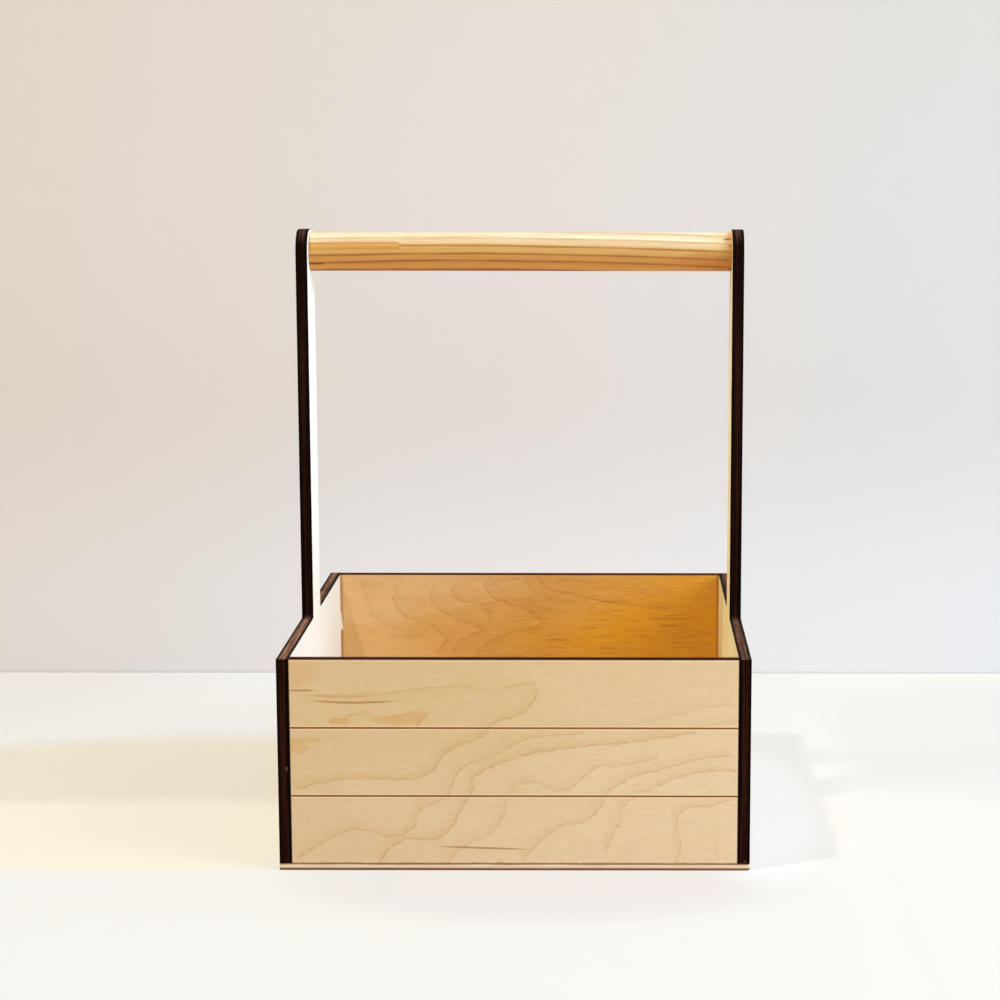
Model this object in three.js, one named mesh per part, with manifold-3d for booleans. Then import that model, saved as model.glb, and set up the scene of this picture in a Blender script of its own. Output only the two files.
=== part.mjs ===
// A carrying box of laser-cut birch plywood with a tall round handle.
// Two side panels rise at mid-depth into uprights, and a pine dowel runs between the uprights.
// Front and back panels fit between the sides, and the base lies under all four walls.
// The panels are butted, glued and pinned, and a countersunk wood screw holds each end of the dowel.
// Millimetres, +Z up. The origin is under the middle of the base, and the front faces -Y.

import * as THREE from 'three';
import { mergeVertices } from 'three/addons/utils/BufferGeometryUtils.js';
import Module from 'manifold-3d';

const wasm = await Module();
wasm.setup();

// The box
const BOX_WIDTH = 230;
const BOX_DEPTH = 230;
const RIM_HEIGHT = 105.5;
const WALL = 6;
const BASE = 3.5;

// Engraved lines that divide the front and back panels into bands like planks
const BAND_COUNT = 3;
const LINE_WIDTH = 0.9;
const LINE_DEPTH = 0.4;

// The uprights and the handle
const OVERALL_HEIGHT = 307.5;
const UPRIGHT_WIDTH = 30;
const UPRIGHT_CORNER = 11.5;
const RIM_FILLET = 2;
const DOWEL_DIAMETER = 20;
const DOWEL_BELOW_TOP = 11.5;

// Countersunk wood screws through the uprights into the ends of the dowel
const SCREW_LENGTH = 30;
const SCREW_DIAMETER = 3.5;
const SCREW_HEAD = 7;
const SCREW_HEAD_EDGE = 0.4;
const SCREW_POINT = 4;
const RECESS_SPAN = 4;
const RECESS_WIDTH = 0.9;
const RECESS_DEPTH = 1.4;

// Headless pins through the sides into the front and back, and through the base into the walls
const PIN_DIAMETER = 1.2;
const PIN_LENGTH = 18;
const PINS_PER_CORNER = 3;
const PINS_PER_WALL = 3;

// Room around a fastener in its hole, how far it sits below the face, and how far a cutter overshoots
const HOLE_GAP = 0.3;
const SUNK = 0.3;
const OVERSHOOT = 1;

const CURVE_STEPS = 12;
const DOWEL_SIDES = 64;
const SCREW_SIDES = 24;
const PIN_SIDES = 10;

// Places that follow from the sizes above
const HALF_WIDTH = BOX_WIDTH / 2;
const HALF_DEPTH = BOX_DEPTH / 2;
const INNER_WIDTH = BOX_WIDTH - 2 * WALL;
const WALL_HEIGHT = RIM_HEIGHT - BASE;
const DOWEL_HEIGHT = OVERALL_HEIGHT - DOWEL_BELOW_TOP;

const PLY_FACE = new THREE.MeshStandardMaterial({ color: 0xdec09a, roughness: 0.6, metalness: 0 });
const BASE_FACE = new THREE.MeshStandardMaterial({ color: 0xe2cba6, roughness: 0.65, metalness: 0 });
const PINE = new THREE.MeshStandardMaterial({ color: 0xd9a55c, roughness: 0.5, metalness: 0 });
const STEEL = new THREE.MeshStandardMaterial({ color: 0xb9b4a4, roughness: 0.35, metalness: 1 });

const X = new THREE.Vector3(1, 0, 0);
const Y = new THREE.Vector3(0, 1, 0);
const Z = new THREE.Vector3(0, 0, 1);

// Turns an outline drawn in (Y, Z) and extruded along local z into a solid that runs along X
const ALONG_X = new THREE.Matrix4().makeBasis(Y, Z, X);

// Turns a lathe's own axis, local y, to face into the part from each direction
const INTO_PLUS_X = new THREE.Matrix4().makeBasis(Z, X, Y);
const INTO_MINUS_X = new THREE.Matrix4().makeBasis(Y, X.clone().negate(), Z);
const UPWARD = new THREE.Matrix4().makeBasis(X, Z, Y.clone().negate());

// Booleans between closed geometries

function toSolid(geometry) {
  const plain = geometry.clone();
  plain.deleteAttribute('normal');
  plain.deleteAttribute('uv');
  const merged = mergeVertices(plain);
  const vertProperties = new Float32Array(merged.getAttribute('position').array);
  const triVerts = new Uint32Array(merged.getIndex().array);
  return new wasm.Manifold(new wasm.Mesh({ numProp: 3, vertProperties, triVerts }));
}

function toGeometry(solid) {
  const mesh = solid.getMesh();
  const geometry = new THREE.BufferGeometry();
  geometry.setAttribute('position', new THREE.BufferAttribute(mesh.vertProperties, 3));
  geometry.setIndex(new THREE.BufferAttribute(mesh.triVerts, 1));
  geometry.computeVertexNormals();
  return geometry;
}

function cut(geometry, cutters) {
  const solid = cutters.map(toSolid).reduce((left, tool) => left.subtract(tool), toSolid(geometry));
  return toGeometry(solid);
}

// Basic forms

function box(x0, x1, y0, y1, z0, z1) {
  const geometry = new THREE.BoxGeometry(x1 - x0, y1 - y0, z1 - z0);
  return geometry.translate((x0 + x1) / 2, (y0 + y1) / 2, (z0 + z1) / 2);
}

function extrudeAlongX(shape, x0, x1) {
  const options = { depth: x1 - x0, bevelEnabled: false, curveSegments: CURVE_STEPS };
  const geometry = new THREE.ExtrudeGeometry(shape, options);
  return geometry.applyMatrix4(ALONG_X).translate(x0, 0, 0);
}

function lathe(profile, sides) {
  return new THREE.LatheGeometry(profile.map(([radius, along]) => new THREE.Vector2(radius, along)), sides);
}

// Centres of count equal shares of a length that is itself centred on zero
function shares(length, count) {
  return Array.from({ length: count }, (_, i) => ((i + 0.5) / count - 0.5) * length);
}

// Fasteners, each drawn along local y from its outer end at zero into the part

function pinProfile(gap, outer) {
  const radius = PIN_DIAMETER / 2 + gap;
  return [[0, outer], [radius, outer], [radius, PIN_LENGTH + gap], [0, PIN_LENGTH + gap]];
}

function screwProfile(gap, outer) {
  const head = SCREW_HEAD / 2 + gap;
  const shank = SCREW_DIAMETER / 2 + gap;
  const shoulder = SCREW_HEAD_EDGE + (SCREW_HEAD - SCREW_DIAMETER) / 2 + gap;
  return [
    [0, outer],
    [head, outer],
    [head, SCREW_HEAD_EDGE + gap],
    [shank, shoulder],
    [shank, SCREW_LENGTH - SCREW_POINT],
    [0, SCREW_LENGTH + gap],
  ];
}

// A fastener and the hole that clears it, at one place and facing one way
function fastener(profile, sides, facing, place) {
  const set = (geometry) => geometry.applyMatrix4(facing).translate(...place);
  return {
    solid: set(lathe(profile(0, 0), sides)),
    hole: set(lathe(profile(HOLE_GAP, -OVERSHOOT - SUNK), sides)),
  };
}

function pin(facing, place) {
  return fastener(pinProfile, PIN_SIDES, facing, place);
}

// The cross recess is cut square to the head, along the screw's own axis
function screw(facing, place, inward) {
  const made = fastener(screwProfile, SCREW_SIDES, facing, place);
  const [x, y, z] = place;
  const x0 = x - inward * OVERSHOOT;
  const x1 = x + inward * RECESS_DEPTH;
  const low = Math.min(x0, x1);
  const high = Math.max(x0, x1);
  const long = RECESS_SPAN / 2;
  const thin = RECESS_WIDTH / 2;
  const level = box(low, high, y - long, y + long, z - thin, z + thin);
  const plumb = box(low, high, y - thin, y + thin, z - long, z + long);
  made.solid = cut(made.solid, [level, plumb]);
  return made;
}

const SIDES = [
  { name: 'left', x: -1, facing: INTO_PLUS_X },
  { name: 'right', x: 1, facing: INTO_MINUS_X },
];
const ENDS = [
  { name: 'front', y: -1 },
  { name: 'back', y: 1 },
];

const bandPlaces = shares(WALL_HEIGHT, PINS_PER_CORNER).map((z) => BASE + WALL_HEIGHT / 2 + z);

// One screw for each end of the dowel
function screwAt(side) {
  return screw(side.facing, [side.x * (HALF_WIDTH - SUNK), 0, DOWEL_HEIGHT], -side.x);
}

// Pins through one side into the edge of the front or back panel
function cornerPinsAt(side, end) {
  const x = side.x * (HALF_WIDTH - SUNK);
  const y = end.y * (HALF_DEPTH - WALL / 2);
  return bandPlaces.map((z) => pin(side.facing, [x, y, z]));
}

// Pins through the base into the bottom edge of a side, or of the front or back panel
function sideBasePins(side) {
  const x = side.x * (HALF_WIDTH - WALL / 2);
  return shares(BOX_DEPTH - 2 * WALL, PINS_PER_WALL).map((y) => pin(UPWARD, [x, y, SUNK]));
}

function endBasePins(end) {
  const y = end.y * (HALF_DEPTH - WALL / 2);
  return shares(INNER_WIDTH, PINS_PER_WALL).map((x) => pin(UPWARD, [x, y, SUNK]));
}

const screws = Object.fromEntries(SIDES.map((side) => [side.name, screwAt(side)]));
const cornerPins = {};
const basePins = {};
for (const side of SIDES) {
  basePins[side.name] = sideBasePins(side);
  for (const end of ENDS) {
    cornerPins[`${side.name}_${end.name}`] = cornerPinsAt(side, end);
  }
}
for (const end of ENDS) {
  basePins[end.name] = endBasePins(end);
}

function holes(fasteners) {
  return fasteners.map((one) => one.hole);
}

// Side panel: a low wall with a straight upright at mid-depth, rounded at its two top corners
function sideOutline() {
  const half = UPRIGHT_WIDTH / 2;
  const corner = Math.min(UPRIGHT_CORNER, half);
  const outline = new THREE.Shape();
  outline.moveTo(-HALF_DEPTH, BASE);
  outline.lineTo(HALF_DEPTH, BASE);
  outline.lineTo(HALF_DEPTH, RIM_HEIGHT);
  outline.lineTo(half + RIM_FILLET, RIM_HEIGHT);
  outline.absarc(half + RIM_FILLET, RIM_HEIGHT + RIM_FILLET, RIM_FILLET, -Math.PI / 2, -Math.PI, true);
  outline.lineTo(half, OVERALL_HEIGHT - corner);
  outline.absarc(half - corner, OVERALL_HEIGHT - corner, corner, 0, Math.PI / 2, false);
  outline.absarc(corner - half, OVERALL_HEIGHT - corner, corner, Math.PI / 2, Math.PI, false);
  outline.lineTo(-half, RIM_HEIGHT + RIM_FILLET);
  outline.absarc(-half - RIM_FILLET, RIM_HEIGHT + RIM_FILLET, RIM_FILLET, 0, -Math.PI / 2, true);
  outline.lineTo(-HALF_DEPTH, RIM_HEIGHT);
  outline.closePath();
  return outline;
}

function sidePanel(side) {
  const x0 = side.x < 0 ? -HALF_WIDTH : HALF_WIDTH - WALL;
  const fasteners = [
    screws[side.name],
    ...ENDS.flatMap((end) => cornerPins[`${side.name}_${end.name}`]),
    ...basePins[side.name],
  ];
  return cut(extrudeAlongX(sideOutline(), x0, x0 + WALL), holes(fasteners));
}

// Front or back panel: its section in (Y, Z) has a shallow engraved line between each two bands
function endPanel(end) {
  const outer = end.y * HALF_DEPTH;
  const inner = end.y * (HALF_DEPTH - WALL);
  const engraved = outer - end.y * LINE_DEPTH;
  const band = WALL_HEIGHT / BAND_COUNT;
  const section = new THREE.Shape();
  section.moveTo(inner, BASE);
  section.lineTo(outer, BASE);
  for (let i = 1; i < BAND_COUNT; i += 1) {
    const height = BASE + i * band;
    section.lineTo(outer, height - LINE_WIDTH / 2);
    section.lineTo(engraved, height);
    section.lineTo(outer, height + LINE_WIDTH / 2);
  }
  section.lineTo(outer, RIM_HEIGHT);
  section.lineTo(inner, RIM_HEIGHT);
  section.closePath();
  const fasteners = [
    ...SIDES.flatMap((side) => cornerPins[`${side.name}_${end.name}`]),
    ...basePins[end.name],
  ];
  return cut(extrudeAlongX(section, -INNER_WIDTH / 2, INNER_WIDTH / 2), holes(fasteners));
}

function basePanel() {
  const sheet = box(-HALF_WIDTH, HALF_WIDTH, -HALF_DEPTH, HALF_DEPTH, 0, BASE);
  return cut(sheet, holes(Object.values(basePins).flat()));
}

// The dowel fills the space between the uprights, with a pilot hole for the screw in each end
function handleDowel() {
  const rod = new THREE.CylinderGeometry(DOWEL_DIAMETER / 2, DOWEL_DIAMETER / 2, INNER_WIDTH, DOWEL_SIDES);
  rod.applyMatrix4(INTO_PLUS_X).translate(0, 0, DOWEL_HEIGHT);
  return cut(rod, holes(Object.values(screws)));
}

const woodenBox = new THREE.Group();
woodenBox.name = 'wooden_box';

function addPiece(name, geometry, material) {
  const mesh = new THREE.Mesh(geometry, material);
  mesh.name = name;
  woodenBox.add(mesh);
}

addPiece('base_panel', basePanel(), BASE_FACE);
for (const end of ENDS) {
  addPiece(`${end.name}_panel`, endPanel(end), PLY_FACE);
}
for (const side of SIDES) {
  addPiece(`${side.name}_side`, sidePanel(side), PLY_FACE);
}
addPiece('handle_dowel', handleDowel(), PINE);
for (const side of SIDES) {
  addPiece(`handle_screw_${side.name}`, screws[side.name].solid, STEEL);
}
for (const [corner, pins] of Object.entries(cornerPins)) {
  pins.forEach((one, i) => addPiece(`corner_pin_${corner}_${i + 1}`, one.solid, STEEL));
}
for (const [wall, pins] of Object.entries(basePins)) {
  pins.forEach((one, i) => addPiece(`base_pin_${wall}_${i + 1}`, one.solid, STEEL));
}

export default woodenBox;
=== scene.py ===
import math

import bmesh
import bpy
from mathutils import Matrix, Vector


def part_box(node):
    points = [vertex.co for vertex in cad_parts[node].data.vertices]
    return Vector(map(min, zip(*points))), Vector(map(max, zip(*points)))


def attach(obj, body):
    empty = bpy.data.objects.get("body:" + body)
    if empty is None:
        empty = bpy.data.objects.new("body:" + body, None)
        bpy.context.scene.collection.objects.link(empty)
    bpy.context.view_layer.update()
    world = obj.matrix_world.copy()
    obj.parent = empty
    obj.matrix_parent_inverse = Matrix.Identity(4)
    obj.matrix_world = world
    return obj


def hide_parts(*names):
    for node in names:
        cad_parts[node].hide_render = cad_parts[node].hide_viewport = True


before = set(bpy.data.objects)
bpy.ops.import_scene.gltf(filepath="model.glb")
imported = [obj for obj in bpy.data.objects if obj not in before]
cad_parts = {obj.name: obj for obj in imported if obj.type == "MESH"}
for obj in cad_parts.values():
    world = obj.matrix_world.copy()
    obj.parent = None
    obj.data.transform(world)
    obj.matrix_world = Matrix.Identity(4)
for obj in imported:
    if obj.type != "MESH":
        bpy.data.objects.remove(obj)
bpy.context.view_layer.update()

# Sizes in metres. The frame gives the panels' places, the rest are the box's own small sizes.
MM = 0.001
SIDE_LOW, SIDE_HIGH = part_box("right_side")
FRONT_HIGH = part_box("front_panel")[1]
BASE_LOW, BASE_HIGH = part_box("base_panel")
ROD_LOW, ROD_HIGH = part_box("handle_dowel")
ROD_MIDDLE = (ROD_LOW + ROD_HIGH) / 2
RIM_HEIGHT = FRONT_HIGH.z
SHEET_MIDDLE = (SIDE_LOW.x + SIDE_HIGH.x) / 2
UPRIGHT_HALF = 15 * MM
UPRIGHT_CORNER = 11.5 * MM
UPRIGHT_CORNER_STEPS = 18
RIM_FILLET = 2 * MM
RIM_FILLET_STEPS = 8
ARRIS = 0.22 * MM
ARRIS_STEPS = 2
BAND_COUNT = 3
BAND_HEIGHT = (FRONT_HIGH.z - BASE_HIGH.z) / BAND_COUNT
LINE_WIDTH = 0.9 * MM
LINE_DEPTH = 0.4 * MM
BASE_ARRIS = 0.3 * MM
WORN_CORNER = 1.8 * MM
WORN_CORNER_STEPS = 6
ROD_SIDES = 96
ROD_RINGS = 72
ROD_END_ROUNDING = 0.35 * MM
ROD_END_STEPS = 3
HOLE_GAP = 0.3 * MM
HOLE_OVERRUN = 4 * HOLE_GAP
PIN_SIDES = 20
PINS_IN_A_ROW = 3
SCREW_SHANK = 3.5 * MM
SCREW_HEAD = 7 * MM
SCREW_SIDES = 40
CHIP_SIDES = 20
# Chips in the burnt edges: the piece, the middle of the chip and its half size.
CHIPS = {
    "left_side": (Vector((-110.7, -115, 51)) * MM, Vector((0.4, 0.35, 1.2)) * MM),
    "right_side": (Vector((112.9, -115, 4.6)) * MM, Vector((0.8, 0.4, 0.4)) * MM),
    "front_panel": (Vector((-73.5, -115, 105.5)) * MM, Vector((1.8, 0.5, 0.45)) * MM),
}
GLUE_LOW = Vector((-109, 107.9, 73.2)) * MM
GLUE_HIGH = Vector((-107.6, 109, 83.6)) * MM
GLUE_TOP_SHARE = 0.25
GLUE_ROUNDING = 0.2 * MM
GLUE_STEPS = 4

# Places on the panels in millimetres, for the materials.
PANEL_FOOT = BASE_HIGH.z / MM
PANEL_END = FRONT_HIGH.x / MM
BAND_STEP = BAND_HEIGHT / MM

# How deep the grain of each finish is, and how much it shines, as a specular level.
GRAIN_DEPTH = 0.05 * MM
ENGRAVED_DEPTH = 0.04 * MM
SAWN_DEPTH = 0.08 * MM
BRUSHED_DEPTH = 0.01 * MM
PLAIN_GLOSS = 0.5
WOOD_GLOSS = 0.3
SAWN_GLOSS = 0.25
ENGRAVED_GLOSS = 0.15
BURNT_GLOSS = 0.03
STAGE_GLOSS = 0.1
STAGE_ROUGHNESS = 0.9


# Node helpers
def rgb(red, green, blue):
    """A colour as seen on a screen, turned into light values."""
    shares = [value / 255 for value in (red, green, blue)]
    light = [s / 12.92 if s <= 0.04045 else ((s + 0.055) / 1.055) ** 2.4 for s in shares]
    return (*light, 1.0)


def add_node(tree, kind, feeds=None, **settings):
    """A node with its settings and inputs. An input that is a socket is linked."""
    node = tree.nodes.new(kind)
    for name, value in settings.items():
        setattr(node, name, value)
    for name, value in (feeds or {}).items():
        if isinstance(value, bpy.types.NodeSocket):
            tree.links.new(value, node.inputs[name])
        else:
            node.inputs[name].default_value = value
    return node


def calc(tree, operation, *values):
    feeds = dict(enumerate(values))
    return add_node(tree, "ShaderNodeMath", feeds, operation=operation).outputs[0]


def times(tree, first, *others):
    """The product of several values."""
    result = first
    for other in others:
        result = calc(tree, "MULTIPLY", result, other)
    return result


def remap(tree, value, low, high, to_low=0.0, to_high=1.0):
    """A smooth step from to_low to to_high as the value goes from low to high."""
    feeds = {0: value, 1: low, 2: high, 3: to_low, 4: to_high}
    node = add_node(tree, "ShaderNodeMapRange", feeds, interpolation_type="SMOOTHSTEP")
    return node.outputs[0]


def between(tree, value, start, full, fading, end):
    """1 from full to fading, with soft sides that reach to start and end."""
    return times(tree, remap(tree, value, start, full), remap(tree, value, fading, end, 1.0, 0.0))


def blend(tree, share, first, second):
    feeds = {0: share, 6: first, 7: second}
    return add_node(tree, "ShaderNodeMix", feeds, data_type="RGBA").outputs[2]


def mapped(tree, vector, scale=(1, 1, 1), turn=(0, 0, 0), shift=(0, 0, 0)):
    feeds = {"Vector": vector, "Scale": scale, "Rotation": turn, "Location": shift}
    return add_node(tree, "ShaderNodeMapping", feeds).outputs[0]


def noise(tree, vector, scale=1.0, detail=2.0, rough=0.5):
    feeds = {"Vector": vector, "Scale": scale, "Detail": detail, "Roughness": rough}
    return add_node(tree, "ShaderNodeTexNoise", feeds).outputs[0]


def sway(tree, vector, scale=1.0, detail=2.0):
    """Noise that swings evenly to both sides of zero, by about a half."""
    return calc(tree, "SUBTRACT", noise(tree, vector, scale, detail), 0.5)


def split(tree, vector):
    return add_node(tree, "ShaderNodeSeparateXYZ", {0: vector}).outputs


def joined(tree, *values):
    return add_node(tree, "ShaderNodeCombineXYZ", dict(enumerate(values))).outputs[0]


def new_group(name, inputs, outputs):
    """A node group; inputs are (name, kind, start value), outputs are (name, kind)."""
    tree = bpy.data.node_groups.new(name, "ShaderNodeTree")
    kinds = {"vector": "NodeSocketVector", "value": "NodeSocketFloat", "colour": "NodeSocketColor"}
    for label, kind, value in inputs:
        socket = tree.interface.new_socket(name=label, in_out="INPUT", socket_type=kinds[kind])
        if value is not None:
            socket.default_value = value
    for label, kind in outputs:
        tree.interface.new_socket(name=label, in_out="OUTPUT", socket_type=kinds[kind])
    given = tree.nodes.new("NodeGroupInput").outputs
    result = tree.nodes.new("NodeGroupOutput").inputs
    return tree, given, result


def use_group(tree, group, **feeds):
    return add_node(tree, "ShaderNodeGroup", feeds, node_tree=group).outputs


def new_material(name):
    """A material with a Principled shader, and its tree, shader and place in millimetres."""
    material = bpy.data.materials.new(name)
    material.use_nodes = True
    tree = material.node_tree
    shader = tree.nodes["Principled BSDF"]
    place = add_node(tree, "ShaderNodeTexCoord").outputs["Object"]
    millimetres = mapped(tree, place, scale=(1 / MM, 1 / MM, 1 / MM))
    return material, tree, shader, millimetres


def finish_surface(tree, shader, colour, rough, height, depth, gloss=PLAIN_GLOSS):
    """Feeds colour, roughness and a bump of the given depth to the shader, and sets its gloss."""
    tree.links.new(colour, shader.inputs["Base Color"])
    tree.links.new(rough, shader.inputs["Roughness"])
    bump = add_node(tree, "ShaderNodeBump", {"Height": height, "Strength": 1.0, "Distance": depth})
    tree.links.new(bump.outputs[0], shader.inputs["Normal"])
    shader.inputs["Specular IOR Level"].default_value = gloss


# Shared effects
def make_wood_fibre():
    """Fine fibres along X and short dark pores, on a place in millimetres."""
    tree, given, result = new_group(
        "wood_fibre",
        [("Vector", "vector", None), ("Length", "value", 14.0), ("Width", "value", 0.45)],
        [("Streak", "value"), ("Pores", "value")],
    )
    cell = joined(tree, given["Length"], given["Width"], given["Width"])
    feeds = {0: given["Vector"], 1: cell}
    stretched = add_node(tree, "ShaderNodeVectorMath", feeds, operation="DIVIDE").outputs[0]
    streak = noise(tree, stretched, 1.0, detail=3.0, rough=0.6)
    short = mapped(tree, stretched, scale=(3.2, 1.1, 1.1), shift=(31, 7, 3))
    pores = remap(tree, noise(tree, short, 1.0, detail=1.0), 0.64, 0.74)
    tree.links.new(streak, result["Streak"])
    tree.links.new(pores, result["Pores"])
    return tree


def make_veneer_figure():
    """Growth lines of peeled veneer at even steps of a field in millimetres, waved by noise."""
    tree, given, result = new_group(
        "veneer_figure",
        [
            ("Vector", "vector", None),
            ("Field", "value", 0.0),
            ("Spacing", "value", 14.0),
            ("Wave", "value", 60.0),
        ],
        [("Line", "value"), ("Tone", "value")],
    )
    broad = mapped(tree, given["Vector"], scale=(1 / 130, 1 / 36, 1 / 36))
    feathered = mapped(tree, given["Vector"], scale=(0.12, 1.1, 1.1))
    field = calc(tree, "MULTIPLY_ADD", sway(tree, broad, detail=1.2), given["Wave"], given["Field"])
    field = calc(tree, "MULTIPLY_ADD", sway(tree, given["Vector"], 0.22), 2.4, field)
    field = calc(tree, "MULTIPLY_ADD", sway(tree, feathered), 1.2, field)
    phase = calc(tree, "FRACT", calc(tree, "DIVIDE", field, given["Spacing"]))
    patchy = remap(tree, noise(tree, given["Vector"], 0.045, detail=2.0), 0.3, 0.65, 0.1, 1.0)
    line = times(tree, between(tree, phase, 0.62, 0.95, 0.95, 1.0), patchy)
    tree.links.new(line, result["Line"])
    tree.links.new(phase, result["Tone"])
    return tree


def make_burnt_edge():
    """Plywood edge browned by the cutting beam, in millimetres. Along runs with the plies and Through across
    them, from the middle of the sheet. Up is 1 on faces that look upwards, which are browner."""
    tree, given, result = new_group(
        "burnt_edge",
        [("Along", "value", 0.0), ("Through", "value", 0.0), ("Up", "value", 0.0)],
        [("Colour", "colour"), ("Rough", "value"), ("Height", "value")],
    )
    char_black, char_brown, arris_black = rgb(9, 1, 0), rgb(54, 24, 14), rgb(10, 3, 2)
    # Faces that look up take these paler brown colours: partly worn char, partly painted light from above.
    worn_and_lit_dark, worn_and_lit_pale = rgb(84, 54, 40), rgb(180, 137, 110)
    soot_brown, stain_brown = rgb(104, 66, 46), rgb(66, 40, 28)
    flat = joined(tree, given["Along"], given["Through"], given["Up"])
    plies = noise(tree, mapped(tree, flat, scale=(0.012, 0.85, 0.2), shift=(3, 5.3, 0)), rough=0.6)
    fibre = noise(tree, mapped(tree, flat, scale=(0.16, 3.2, 0.2)))
    soot = noise(tree, mapped(tree, flat, scale=(0.05, 0.3, 0.2)), detail=3.0)
    stripes = remap(tree, calc(tree, "MULTIPLY_ADD", fibre, 0.35, plies), 0.52, 0.86)
    shade = blend(tree, stripes, char_black, char_brown)
    worn = blend(tree, stripes, worn_and_lit_dark, worn_and_lit_pale)
    worn = blend(tree, remap(tree, soot, 0.35, 0.65, 0.0, 0.5), worn, soot_brown)
    stain = noise(tree, mapped(tree, flat, scale=(0.22, 0.6, 0.2), shift=(8, 2, 0)), detail=3.0)
    worn = blend(tree, remap(tree, stain, 0.45, 0.7, 0.0, 0.6), worn, stain_brown)
    colour = blend(tree, given["Up"], shade, worn)
    arris = remap(tree, calc(tree, "ABSOLUTE", given["Through"]), 1.2, 2.2, 0.0, 0.94)
    colour = blend(tree, arris, colour, arris_black)
    tree.links.new(colour, result["Colour"])
    tree.links.new(remap(tree, soot, 0.2, 0.8, 0.66, 0.82), result["Rough"])
    tree.links.new(calc(tree, "ADD", plies, times(tree, fibre, 0.6)), result["Height"])
    return tree


# Contours of the front panel's figure, read along the panel: x from its middle, z from the ground, in mm.
# Each has its strength, and the side on which the wood darkens towards it: 1 above, -1 below.
FIGURE_TURN = math.radians(35)
FRONT_CONTOURS = [
    (0.6, -1, [(-104, 88), (-70, 88.6), (-37, 92), (-25, 93), (-6, 91), (1, 93), (7, 93.6), (10.5, 92)]),
    (1.0, 1, [(10.5, 92), (11, 89.8), (9.3, 84.8), (2.6, 78.5), (-9.5, 74), (-14.4, 68.5), (-25, 63.5),
              (-35, 57.8), (-38.7, 51), (-44.8, 47.8), (-61.8, 45.9), (-83.7, 45.9), (-106, 41)]),
    (0.8, 1, [(34, 69), (16, 67.5), (2.6, 64.7), (-9.5, 57.8), (-25, 51.5), (-30.8, 41), (-35, 35.8),
              (-46, 30.8), (-47.8, 25.8), (-51, 20.8), (-75, 20.8), (-86, 18.3), (-106, 6)]),
    (1.0, 1, [(88, 69.5), (74, 67.2), (47.6, 63.5), (19.7, 61), (-1, 56), (-15.6, 49.7), (-20.5, 46),
              (-20, 42), (-26.6, 29.6), (-32.6, 19.5), (-37.5, 16.4), (-57, 13.9), (-66, 4)]),
    (0.6, 1, [(70, 57), (47.6, 52.2), (40, 52.2), (27, 41.5), (16, 42), (7.5, 44.6), (1.4, 42),
              (-6, 27), (-13.2, 17.6), (-23, 13.3), (-33, 4)]),
    (0.7, 1, [(106, 58), (72, 51), (47.6, 41), (42.8, 34), (34.2, 24.6), (23.3, 22.7), (11, 13.3),
              (5, 4)]),
    (0.75, 1, [(108, 50), (63.4, 39.6), (51.3, 30.8), (52.5, 25.8), (47.6, 17), (45.2, 12), (49, 4)]),
    (0.7, 1, [(106, 36), (98.7, 33.3), (81.7, 29.6), (79.2, 22), (81, 14.5), (79.2, 4)]),
    (0.4, 1, [(97.5, 25.8), (101, 19.5), (98.7, 14.5), (100, 4)]),
    (0.4, 1, [(108, 83), (96, 82.3), (63, 74), (30, 71.5)]),
    (0.4, 1, [(109, 75.2), (94, 73), (70, 71)]),
    (0.7, -1, [(-89.3, 74.2), (-80.3, 77.6), (-72.9, 79.8), (-61.8, 77.2), (-57.3, 77.6),
               (-46.8, 79.8), (-42, 79)]),
    (1.0, 1, [(-47.6, 72.7), (-43.5, 76.5), (-42, 79)]),
]


# How a drawn contour fades past its ends and how soft its sharp side is, in millimetres.
CONTOUR_FADE_FROM = -1.2
CONTOUR_FADE_TO = 0.6
CONTOUR_SOFTNESS = 0.4


def drawn_contour(tree, place, contour, side, turn, line_width, shade_width):
    """A line along a contour and a shade on one side of it, on a place turned so that it has one height."""
    rotation = Matrix.Rotation(-turn, 2)
    turned = sorted((rotation @ Vector(point)).to_tuple() for point in contour)
    first = turned[0][0]
    length = turned[-1][0] - first
    heights = [height for _, height in turned]
    low, span = min(heights), max(max(heights) - min(heights), 1.0)
    share = calc(tree, "DIVIDE", calc(tree, "SUBTRACT", place["X"], first), length)
    curve = add_node(tree, "ShaderNodeFloatCurve", {"Value": share})
    points = curve.mapping.curves[0].points
    for number, (along, height) in enumerate(turned):
        spot = ((along - first) / length, (height - low) / span)
        if number in (0, len(turned) - 1):
            points[0 if number == 0 else -1].location = spot
        else:
            points.new(*spot)
    curve.mapping.update()
    height = calc(tree, "MULTIPLY_ADD", curve.outputs[0], span, low)
    away = times(tree, calc(tree, "SUBTRACT", place["Y"], height), side)
    start, end = CONTOUR_FADE_FROM / length, CONTOUR_FADE_TO / length
    fade = between(tree, share, start, end, 1 - end, 1 - start)
    line = remap(tree, calc(tree, "ABSOLUTE", away), 0.0, line_width, 1.0, 0.0)
    shade = between(tree, away, -CONTOUR_SOFTNESS, CONTOUR_SOFTNESS, 0.0, shade_width)
    return times(tree, line, fade), times(tree, shade, fade)


def strongest(tree, masks):
    """The greatest of several masks at each place."""
    result = masks[0]
    for mask in masks[1:]:
        result = calc(tree, "MAXIMUM", result, mask)
    return result


def figure_marks(tree, place, contours, turn, line_width, shade_width):
    """The lines and the shades of a set of contours, each as its strongest at a place."""
    turned = split(tree, mapped(tree, place, turn=(0, 0, -turn)))
    lines, shades = [], []
    for strength, side, contour in contours:
        line, shade = drawn_contour(tree, turned, contour, side, turn, line_width, shade_width)
        lines.append(times(tree, line, strength))
        shades.append(times(tree, shade, strength))
    return strongest(tree, lines), strongest(tree, shades)


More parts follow.
